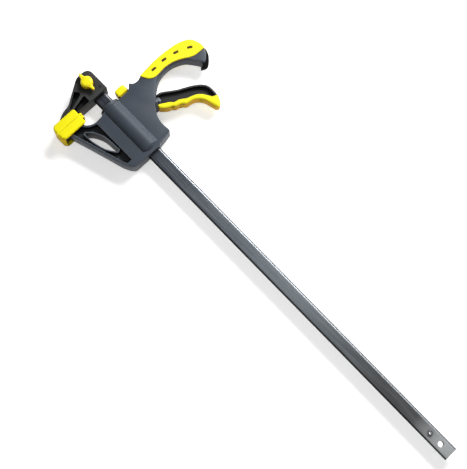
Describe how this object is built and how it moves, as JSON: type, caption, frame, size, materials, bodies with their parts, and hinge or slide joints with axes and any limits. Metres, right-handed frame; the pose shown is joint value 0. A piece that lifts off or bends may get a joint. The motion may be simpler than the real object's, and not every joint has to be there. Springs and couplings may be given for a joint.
{
  "type": "one-handed quick release bar clamp",
  "caption": "One-handed quick release bar clamp: steel bar, fixed jaw with wing knob, and a sliding jaw with pistol handle, squeeze trigger and release button.",
  "frame": {"origin": "where the two pads meet, on the long axis of the bar and half way through its thickness", "axes": "+X along the bar to its free end, +Y up the handle, +Z through the thickness towards the side with the wing knob"},
  "size_m": [0.6146, 0.203, 0.0356],
  "materials": {
    "bar_steel": "rolled bar with a dull grey drawn surface",
    "zinc_steel": "zinc plated",
    "plate_steel": "stamped and hardened",
    "spring_steel": "drawn wire",
    "slate_plastic": "fine moulded texture",
    "black_plastic": "fine moulded texture",
    "yellow_plastic": "semi-gloss moulded",
    "yellow_rubber": "soft moulded grip"
  },
  "bodies": {
    "rail": {"bar": "bar_steel", "stop_pin": "spring_steel", "fixed_jaw": "slate_plastic", "fixed_pad": "yellow_rubber", "lock_nut": "zinc_steel"},
    "sliding_jaw": {"front_shell": "slate_plastic", "rear_shell": "slate_plastic", "shell_screws": "zinc_steel", "grip_front": "yellow_rubber", "grip_rear": "yellow_rubber", "hang_hook": "black_plastic", "slide_pad": "yellow_rubber", "trigger_pin": "zinc_steel", "drive_spring": "spring_steel", "brake_spring": "spring_steel"},
    "washer": {"knob_washer": "zinc_steel"},
    "knob": {"wing_knob": "yellow_plastic", "lock_screw": "zinc_steel"},
    "trigger": {"trigger": "slate_plastic", "trigger_pad": "yellow_rubber", "trigger_cam": "zinc_steel"},
    "drive": {"drive_plate_a": "plate_steel", "drive_plate_b": "plate_steel", "spring_washer": "zinc_steel"},
    "release": {"brake_plate": "plate_steel", "release_button": "yellow_plastic"}
  },
  "joints": [
    {"name": "jaw_slide", "type": "slide", "parent": "rail", "child": "sliding_jaw", "axis": [1, 0, 0], "range_m": [0, 0.45]},
    {"name": "washer_lift", "type": "slide", "parent": "rail", "child": "washer", "axis": [0, 0, 1], "range_m": [0, 0.00375]},
    {"name": "knob_turn", "type": "hinge", "parent": "washer", "child": "knob", "pos_m": [-0.024, -0.0016, 0.0122], "axis": [0, 0, 1], "range_deg": [0, 1350.1]},
    {"name": "trigger_pivot", "type": "hinge", "parent": "sliding_jaw", "child": "trigger", "pos_m": [0.046, 0.034, 0], "axis": [0, 0, 1], "range_deg": [0, 19], "stiffness_Nm_per_rad": 0.3, "springref_deg": -11.46},
    {"name": "drive_slide", "type": "slide", "parent": "sliding_jaw", "child": "drive", "axis": [1, 0, 0], "range_m": [0, 0.00665], "deforming": ["drive_spring"]},
    {"name": "release_pivot", "type": "hinge", "parent": "sliding_jaw", "child": "release", "pos_m": [0.02175, -0.01309, 0], "axis": [0, 0, -1], "range_deg": [0, 5], "stiffness_Nm_per_rad": 0.3, "springref_deg": -5.73, "deforming": ["brake_spring"]}
  ],
  "couplings": [
    {"joint": "knob_turn", "follows": "washer_lift", "rad_per_m": 6283.2},
    {"joint": "drive_slide", "follows": "trigger_pivot", "m_per_rad": 0.0199}
  ]
}
